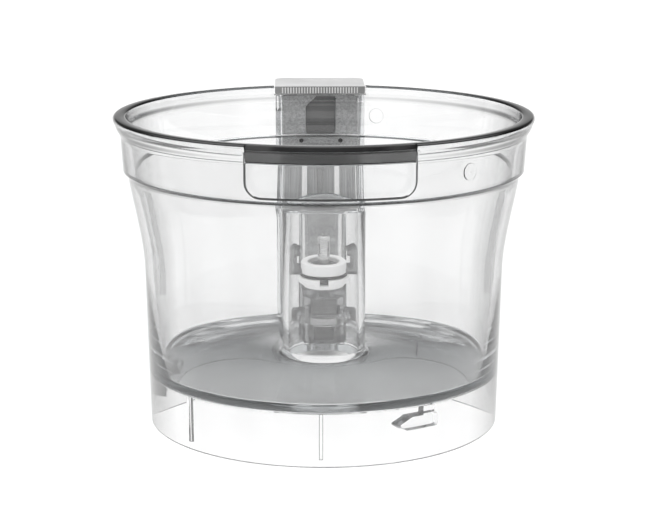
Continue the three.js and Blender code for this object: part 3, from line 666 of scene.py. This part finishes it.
def make_drive():
    top = low("thrust_flange").z - GAP
    hub = [
        (6, 33), (9.75, 33), (9.75, top), (6.4, top), (6.4, 67.5), (2.95, 67.5), (2.95, top), (0, top),
        (0, 54), (6, 54),
    ]
    outline = [(max(r, 0), z) for r, z in fillet(hub, 0.4)]
    piece = revolve("hub_turned", outline, 96)
    finish_piece(piece, "drive_rotor", "clear_grey", CLEAR_GREY, "drive_hub")

    def plug(name, node, radius, z0, z1, material, slot, edge=0.4):
        outline = [(0, z0)] + fillet([(0, z0), (radius, z0), (radius, z1), (0, z1)], edge)[3:-3] + [(0, z1)]
        made = revolve(name, outline, 64)
        return finish_piece(made, "drive_rotor", slot, material, node)

    plug("grey_core", "hub_core", 5.7, 44.6, 53.7, CORE_GREY, "core_grey", 0.5)
    plug("white_washer", "core_washer", 5.7, 42, 44.3, WHITE, "white", 0.3)
    plug("steel_pin", "centre_pin", 2.65, top + GAP, high("centre_pin").z, STEEL, "steel", 0.6)

    socket = prism("square_socket", rounded_rectangle(-3.8, -3.8, 3.8, 3.8, 0.6, 0.6, 4), 34, 41.7, "Z", 0.25)
    cut(socket, prism("hole", rounded_rectangle(-2.5, -2.5, 2.5, 2.5), 33, 43, "Z"))
    finish_piece(socket, "drive_rotor", "dark", DARK, "drive_socket")

    dogs = ring("coupling_dogs", 10.05, 11.75, 42, 47.5, 0.25)
    for azimuth in (0, 180):
        add(dogs, turn(block("dog", (-2.5, -14, 42), (2.5, -11.15, 48), 0.4), azimuth))
    for azimuth in (-130, -50, 50, 130):
        post = block("post", (-1.3, -13, 32.5), (1.3, -9, 51.5), 0.3)
        keep(post, ring("band", 10.05, 11.75, 30, 54, 0))
        add(dogs, turn(post, azimuth))
    finish_piece(dogs, "drive_rotor", "clear", CLEAR, "dog_ring")
    # Painted shade: the faces of the posts and dogs that turn side-on take a dark tint, for the dark lines of
    # refraction on their sides.
    dogs.data.materials.append(DETAIL_PAINTED_SHADE)
    for face in dogs.data.polygons:
        x, y, z = face.center / MM
        if abs((AXIS_Y - y) * face.normal.x + x * face.normal.y) > 0.5 * math.hypot(x, y - AXIS_Y):
            face.material_index = 1

    flange = [(6.7, top + GAP), (8.6, top + GAP), (9.2, top + 0.9), (9.2, 60.3), (6.7, 60.3)]
    piece = revolve("white_flange", fillet(flange, 0.3), 96)
    finish_piece(piece, "drive_rotor", "white", WHITE, "thrust_flange")
    split = revolve("split_ring", fillet([(6.7, 60.7), (11.3, 60.7), (11.3, 63.1), (6.7, 63.1)], 0.55, 4), 96)
    cut(split, block("slot", (-1.8, -13, 60), (1.8, -3, 64), 0))
    finish_piece(split, "drive_rotor", "white", WHITE, "retaining_ring")


# ------------------------------------------------------------------ the lock housing and handle

SIDE = 2.7
INSIDE = HALF - SIDE
LOCK_Z = (96.4, 129.5)
LOCK_BACK = 112
SPINE_BACK = 98.5
ROD_X = 0.5  # middle of the interlock slider and rod
SPRING_Y = 102.8  # axis of the return spring
SLIDER_Z = (110, 129)
PANEL = (90.7, 92.3)


def clearance():
    """Everything within the bowl's outside, with a gap all round."""
    profile = [(0, -1), (BASE_R + GAP, -1)] + outside(GAP) + [(RIM_R + GAP, RIM_Z + 1), (0, RIM_Z + 1)]
    return revolve("clearance", profile, BOWL_SEGMENTS)


def make_lock():
    z0, z1 = LOCK_Z
    floor_z = z0 + 2.6
    shell = block("housing_box", (-HALF, 76, z0), (HALF, LOCK_BACK, z1), 0.6, 3)
    cut(shell, block("room", (-INSIDE, 70, floor_z), (INSIDE, LOCK_BACK - SIDE, z1 + 1), 0))
    cut(shell, block("rod_way", (-INSIDE, 70, z0 - 1), (INSIDE, SPINE_BACK + GAP, floor_z + 1), 0))
    cut(shell, block("side_slot", (-HALF - 1, 92.5, 121), (-INSIDE + 1, 98, 128), 0))
    cut(shell, clearance())
    finish_piece(shell, "root", "clear", CLEAR, "lock_housing")

    side = INSIDE - GAP
    panel = block("frosted_panel", (-side, PANEL[0], floor_z), (side, PANEL[1], z1 - GAP), 0.25)
    left, right, top = ROD_X - 7.5, ROD_X + 7.5, z1 - 0.6
    window = [(left, 109.6), (right, 109.6), (right, top), (left + 5.2, top), (left, top - 6)]
    cut(panel, prism("window", fillet(window, 1.0, 4), 89, 94, "Y"))
    finish_piece(panel, "root", "frosted", FROSTED, "lock_panel")

    outline = rounded_rectangle(ROD_X - 10.85, 106.4, ROD_X + 10.85, 109.3, 0.8, 0.8)
    bar = prism("retaining_bar", outline, 88.6, 90.4)
    soften(bar, 0.25)
    finish_piece(bar, "root", "frosted", FROSTED, "retainer_bar")
    for side, dx in (("left", -9.4), ("right", 9.4)):
        head = revolve(
            f"black_screw_{side}", fillet([(0, 0), (1.1, 0), (1.1, 0.9), (0, 0.9)], 0.25)[1:], 32,
            (ROD_X + dx, 87.4, 107.8), "Y",
        )
        finish_piece(head, "root", "black", BLACK, f"retainer_screw_{side}")
    seat = [(0, 0), (4.6, 0), (4.6, 1), (2.2, 1), (2.2, 5.5), (0, 5.5)]
    outline = [(max(r, 0), z) for r, z in fillet(seat, 0.4)]
    seat = revolve("spring_stud", outline, 48, (ROD_X, SPRING_Y, floor_z + GAP))
    finish_piece(seat, "root", "dark", DARK, "spring_seat")


def make_cap():
    front, foot, top = 84, NOTCH_Z + GAP, high("handle_cap").z
    outline = rounded_rectangle(-HALF, front, HALF, LOCK_BACK, 5, 0, 10)
    cap = prism("cap_shell", outline, foot, top, "Z", 0.5, 3)
    inside = rounded_rectangle(-INSIDE, front + 2.4, INSIDE, LOCK_BACK - 2.4, 3.5, 0, 8)
    cut(cap, prism("cap_inside", inside, foot - 1, top - 1.8, "Z"))
    count, pitch = 28, 1.3
    for i in range(count):
        x = (i - (count - 1) / 2) * pitch
        add(cap, block("rib", (x - 0.3, front - 0.45, foot + 0.2), (x + 0.3, front + 0.3, top - 0.9), 0.15))
    finish_piece(cap, "root", "pale", CAP_PALE, "handle_cap")
    # Painted shade: the front-facing faces behind the ribs take a darker colour, as shade in the grooves.
    cap.data.materials.append(CAP_GROOVE_PAINTED_SHADE)
    for face in cap.data.polygons:
        behind_ribs = face.center.y / MM - AXIS_Y > front - 0.1
        if face.normal.y < -0.5 and behind_ribs and face.center.z / MM < top - 0.9:
            face.material_index = 1


def make_spine():
    z0, z1 = 2, 96
    outline = rounded_rectangle(-HALF, z0, HALF, z1, 2.6, 0, 8)
    channel = prism("spine_shell", outline, 68, SPINE_BACK, "Y", 0.5)
    cut(channel, block("hollow", (-INSIDE, 60, z0 - 1), (INSIDE, SPINE_BACK - 2.5, z1 + 1), 0))
    cut(channel, clearance())
    finish_piece(channel, "root", "clear", CLEAR, "spine_channel")

    half, back = 11.6, SPINE_BACK - 2.8
    cover = block("rod_cover_strip", (-half, PANEL[0] + 0.2, z0 + 1), (half, back, z1), 0.3)
    cut(cover, block("inner", (-half + 1.5, PANEL[1] + 0.1, z0), (half - 1.5, back + 1, z1 + 1), 0))
    finish_piece(cover, "root", "frosted", FROSTED, "rod_cover")

    y0, y1 = 88.9, 90.5
    plate_half = INSIDE - 0.7
    plate = prism("clip_panel", rounded_rectangle(-plate_half, 79, plate_half, 95.2, 2, 0), y0, y1, "Y", 0.25)
    add(plate, block("ridge", (-6.5, y0 - 0.5, 83), (6.6, y0 + 0.5, 83.8), 0.15))
    for side in (-1, 1):
        for i in range(3):
            inner, outer = sorted((side * (plate_half - 3.2), side * (plate_half - 0.2)))
            tooth_z = 84.6 + 2.2 * i
            add(plate, block("tooth", (inner, y0 - 0.8, tooth_z), (outer, y0 + 0.5, tooth_z + 1), 0.2))
    cut(plate, revolve("hole", [(0, 0), (1.6, 0), (1.6, 4), (0, 4)], 32, (-0.1, y0 - 1, 86.8), "Y"))
    finish_piece(plate, "root", "frosted", FROSTED, "clip_plate")
    for side, x in (("left", -7.8), ("right", 8.4)):
        outline = rounded_rectangle(x - 1.3, 81.5, x + 1.3, 91.2, 0.6, 0.6)
        rail = prism(f"white_rail_{side}", outline, y0 - 1.8, y0 - GAP)
        soften(rail, 0.25)
        finish_piece(rail, "root", "white", WHITE, f"guide_rail_{side}")
    screw = [(0, 0), (2.35, 0), (2.35, 1.4), (1.3, 1.4), (1.3, 2.8), (0, 2.8)]
    outline = [(max(r, 0), z) for r, z in fillet(screw, 0.35)]
    piece = revolve("boss_screw", outline, 48, (-0.1, y0 - 1.7, 86.8), "Y")
    finish_piece(piece, "root", "core_grey", CORE_GREY, "clip_screw")


def make_interlock():
    z0, z1 = SLIDER_Z
    left, right = ROD_X - 7.1, ROD_X + 7.1
    outline = [(left, z0), (right, z0), (right, z1), (left + 4.8, z1), (left, z1 - 5.6)]
    slider = prism("slider_block", fillet(outline, 1.0, 4), PANEL[1] + 0.5, 97.4, "Y", 0.3)
    add(slider, block("arm", (ROD_X - 6, 97, 122.3), (ROD_X + 6, 107.6, z1 - 0.4), 0.4))
    finish_piece(slider, "interlock", "dark", DARK, "interlock_slider")
    rod = block("rod_bar", (ROD_X - 6.5, 92.8, 16.3), (ROD_X + 6.5, 95.6, z0 - GAP), 0.35)
    finish_piece(rod, "interlock", "core_grey", CORE_GREY, "push_rod")
    foot = prism("rod_tip", rounded_rectangle(ROD_X - 7.5, 9, ROD_X + 7.5, 16, 0, 2.5), 92.8, 95.6, "Y", 0.3)
    finish_piece(foot, "interlock", "dark", DARK, "rod_foot")


GRIP_TOP, GRIP_BOTTOM = (146, 106), (139, 34)
GRIP_BACK = bezier(GRIP_TOP, (146.6, 82), (143.5, 56), GRIP_BOTTOM, 40)
GRIP_SCREW_HEIGHTS = {"lower": 44, "upper": 97}
GRIP_SCREW_FACES = {"lower": 144 - 2.4, "upper": 144 + 1.4}


def inset(outline, distance):
    """Closed outline, drawn clockwise or not, moved inwards by distance at every corner."""
    area = sum(a[0] * b[1] - b[0] * a[1] for a, b in zip(outline, outline[1:] + outline[:1]))
    side = 1 if area > 0 else -1
    moved = []
    for i, point in enumerate(outline):
        a, b, c = Vector(outline[i - 1]), Vector(point), Vector(outline[(i + 1) % len(outline)])
        u, v = (b - a).normalized(), (c - b).normalized()
        inward = Vector((-u.y - v.y, u.x + v.x)).normalized() * side
        lengthen = max(0.5, math.sqrt((1 + u.dot(v)) / 2))
        moved.append(tuple(b + inward * distance / lengthen))
    return moved


def pillow(name, outline, half, size, depth, steps=8):
    """Outline in the (Y, Z) plane extruded along X, its end edges rounded by size and depth."""
    right = []
    for i in range(steps + 1):
        angle = math.pi / 2 * i / steps
        right.append((half - depth * (1 - math.sin(angle)), size * (1 - math.cos(angle))))
    rows = [(-x, shrink) for x, shrink in reversed(right)] + right
    points = [(x, y, z) for x, shrink in rows for y, z in inset(outline, shrink)]
    n = len(outline)
    last = n * (len(rows) - 1)
    faces = []
    for first in (0, last):
        end = [Vector(points[first + i][1:]).to_3d() for i in range(n)]
        faces += [tuple(first + corner for corner in triangle) for triangle in tessellate_polygon([end])]
    for k in range(len(rows) - 1):
        here, after = k * n, (k + 1) * n
        faces += [(here + i, here + (i + 1) % n, after + (i + 1) % n, after + i) for i in range(n)]
    return build(name, points, faces)


def grip_slab(name, offset0, offset1, half, z0, z1, edge=0.0):
    """Slab that follows the grip's back between two offsets from it."""
    outer = [(y + offset1, z) for y, z in GRIP_BACK]
    inner = [(y + offset0, z) for y, z in GRIP_BACK]
    slab = prism(name, outer + inner[::-1], -half, half, "X")
    keep(slab, block("span", (-half - 1, 90, z0), (half + 1, 160, z1), 0))
    if edge:
        soften(slab, edge, 2, 60)
    return slab


def hold_inside(piece, furthest_y):
    """Keeps a finely drawn curve within the reach of the CAD's own curve."""
    for vertex in piece.data.vertices:
        vertex.co.y = min(vertex.co.y, (furthest_y + AXIS_Y) * MM)


def make_grip():
    start, foot = LOCK_BACK + GAP, SPINE_BACK + GAP
    arch = [(start, 131.2)] + bezier((start, 131.2), (128, 128), (145.4, 124), GRIP_TOP, 28) + GRIP_BACK
    arch += bezier(GRIP_BOTTOM, (134, 15), (120, 8), (foot, 8), 28)
    arch.append((foot, 23))
    arch += bezier(arch[-1], (112, 23), (119, 27), (121.5, 40), 20)
    arch += bezier(arch[-1], (126, 58), (127, 78), (124, 89), 24)
    arch += bezier(arch[-1], (122, 95), (118, 96.8), (start, 96.8), 16)
    grip = pillow("grip_shell", arch, 15, 3, 4)
    cut(grip, grip_slab("cover_seat", -2.5, 3, 10, 38, 103), grip_slab("hollow", -13, -2, 8, 50, 91))
    hold_inside(grip, high("grip_body").y)
    cover = grip_slab("grip_cover_plate", -2.2, 0, 9.7, 38.3, 102.7, 0.35)
    hold_inside(cover, high("grip_cover").y)
    for side, z in GRIP_SCREW_HEIGHTS.items():
        face = GRIP_SCREW_FACES[side]
        for piece in (grip, cover):
            shank, sink = [(0, 0), (1.8, 0), (1.8, 9), (0, 9)], [(0, 0), (2.9, 0), (2.9, 6), (0, 6)]
            cut(piece, revolve("shank_hole", shank, 40, (0, face - 8.4, z), "Y"))
            cut(piece, revolve("counterbore", sink, 40, (0, face - 1.8, z), "Y"))
        profile = [(0, 0), (1.5, 0), (1.5, 6.5), (2.6, 6.5), (2.6, 8), (0, 8)]
        outline = [(max(r, 0), y) for r, y in fillet(profile, 0.3)]
        screw = revolve(f"grip_screw_head_{side}", outline, 48, (0, face - 8, z), "Y")
        cut(screw, block("cross", (-1.4, face - 0.6, z - 0.28), (1.4, face + 1, z + 0.28), 0))
        cut(screw, block("cross", (-0.28, face - 0.6, z - 1.4), (0.28, face + 1, z + 1.4), 0))
        finish_piece(screw, "root", "steel", STEEL, f"grip_screw_{side}")
    finish_piece(grip, "root", "frosted", GRIP_GREY, "grip_body")
    finish_piece(cover, "root", "pale", PALE, "grip_cover")


def make_spring():
    """Helix of round wire from the foot to the head of the CAD spring."""
    foot, head = low("return_spring").z, high("return_spring").z
    turns, steps, sides, wire, radius = 5.5, 48, 14, 0.5, 3.8
    rise = head - foot - 2 * wire
    points, faces = [], []
    count = round(turns * steps) + 1
    for i in range(count):
        angle = 2 * math.pi * i / steps
        climb = rise / (2 * math.pi * turns)
        along = Vector((-radius * math.sin(angle), radius * math.cos(angle), climb)).normalized()
        out = Vector((math.cos(angle), math.sin(angle), 0))
        up = along.cross(out) * -1
        lift = Vector((0, 0, rise * i / (count - 1)))
        centre = Vector((ROD_X, SPRING_Y, foot + wire)) + out * radius + lift
        for k in range(sides):
            around = 2 * math.pi * k / sides
            points.append(tuple(centre + out * wire * math.cos(around) + up * wire * math.sin(around)))
    for i in range(count - 1):
        for k in range(sides):
            n = (k + 1) % sides
            faces.append((i * sides + k, i * sides + n, (i + 1) * sides + n, (i + 1) * sides + k))
    faces += [tuple(range(sides)), tuple(range(len(points) - 1, len(points) - 1 - sides, -1))]
    spring = build("spring_coil", points, faces)
    finish_piece(spring, "root", "spring_steel", SPRING_STEEL, "return_spring")
    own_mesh(spring)


# ------------------------------------------------------------------ the studio


def make_floor():
    size = 9.0
    mesh = bpy.data.meshes.new("studio_floor")
    corners = [(-size, -size, 0), (size, -size, 0), (size, size, 0), (-size, size, 0)]
    mesh.from_pydata([(x, y, -0.0002) for x, y, _ in corners], [], [(0, 1, 2, 3)])
    floor = bpy.data.objects.new("studio_floor", mesh)
    bpy.context.scene.collection.objects.link(floor)
    material, nodes, links, shader, where = new_material("studio_floor_paint")
    tone = noise(nodes, links, where, 3, 2.0)
    links.new(ramp(nodes, links, tone, [(0.3, grey(0.93)), (0.7, grey(0.95))]), shader.inputs["Base Color"])
    shader.inputs["Roughness"].default_value = 0.9
    shader.inputs["Specular IOR Level"].default_value = 0.0
    mesh.materials.append(material)


def make_world():
    """Studio dome: a broad soft light overhead and dim walls, so that edges of clear plastic read dark."""
    world = bpy.data.worlds.new("studio")
    bpy.context.scene.world = world
    world.use_nodes = True
    nodes, links = world.node_tree.nodes, world.node_tree.links
    where = nodes.new("ShaderNodeTexCoord").outputs["Generated"]
    split = nodes.new("ShaderNodeSeparateXYZ")
    links.new(where, split.inputs["Vector"])
    around = nodes.new("ShaderNodeTexGradient")
    around.gradient_type = "RADIAL"
    links.new(where, around.inputs["Vector"])

    def mixed(factor, one, other):
        mix = nodes.new("ShaderNodeMix")
        mix.data_type = "RGBA"
        links.new(factor, mix.inputs["Factor"])
        links.new(one, mix.inputs[6])
        links.new(other, mix.inputs[7])
        return mix.outputs[2]

    # Round the room, from -X through -Y (0.25), +X (0.5) and +Y (0.75): dim walls with two tall panels.
    walls = ramp(
        nodes, links, around.outputs["Fac"],
        [(p, grey(v)) for p, v in (
            (0.0, 0.10), (0.06, 0.08), (0.10, 0.70), (0.155, 0.70), (0.17, 0.10), (0.25, 0.08), (0.34, 0.07),
            (0.36, 0.45), (0.38, 0.45), (0.40, 0.03), (0.5, 0.02), (0.62, 0.03), (0.70, 0.05), (0.75, 0.06),
            (0.82, 0.06), (0.9, 0.06), (1.0, 0.10),
        )],
    )
    # The white sweep's far edge, bright behind and before the object and dark at its right.
    sweep = ramp(
        nodes, links, around.outputs["Fac"],
        [(p, grey(v)) for p, v in (
            (0.0, 0.30), (0.10, 0.55), (0.35, 0.55), (0.42, 0.05), (0.5, 0.01), (0.6, 0.05), (0.68, 0.58),
            (0.9, 0.58), (1.0, 0.30),
        )],
    )
    overhead = ramp(nodes, links, split.outputs["Z"], [(0.0, grey(1.0)), (1.0, grey(1.0))])
    low_band = mixed(ranged(nodes, links, split.outputs["Z"], 0.0, 1.0, 0.08, 0.2), sweep, walls)
    whole = mixed(ranged(nodes, links, split.outputs["Z"], 0.0, 1.0, 0.5, 0.72), low_band, overhead)
    background = nodes["Background"]
    links.new(whole, background.inputs["Color"])
    background.inputs["Strength"].default_value = 1.78


def make_camera():
    data = bpy.data.cameras.new("camera")
    camera = bpy.data.objects.new("camera", data)
    bpy.context.scene.collection.objects.link(camera)
    data.sensor_width = 36
    data.lens = 110.17
    data.clip_start = 0.01
    data.clip_end = 50
    camera.location = (-0.0175, AXIS_Y * MM - 0.8375, 0.2602)
    camera.rotation_euler = (math.radians(90 - 12.78), 0, math.radians(-1.162))
    bpy.context.scene.camera = camera


make_camera()
make_world()
make_floor()
make_bowl()
make_bearing()
make_drive()
make_lock()
make_cap()
make_spine()
make_interlock()
make_grip()
make_spring()

scene = bpy.context.scene
scene.view_settings.view_transform = "Standard"
scene.cycles.max_bounces = 32
scene.cycles.transmission_bounces = 32
scene.cycles.glossy_bounces = 12
scene.cycles.transparent_max_bounces = 32
scene.cycles.caustics_reflective = False
scene.cycles.caustics_refractive = False
scene.cycles.use_denoising = True
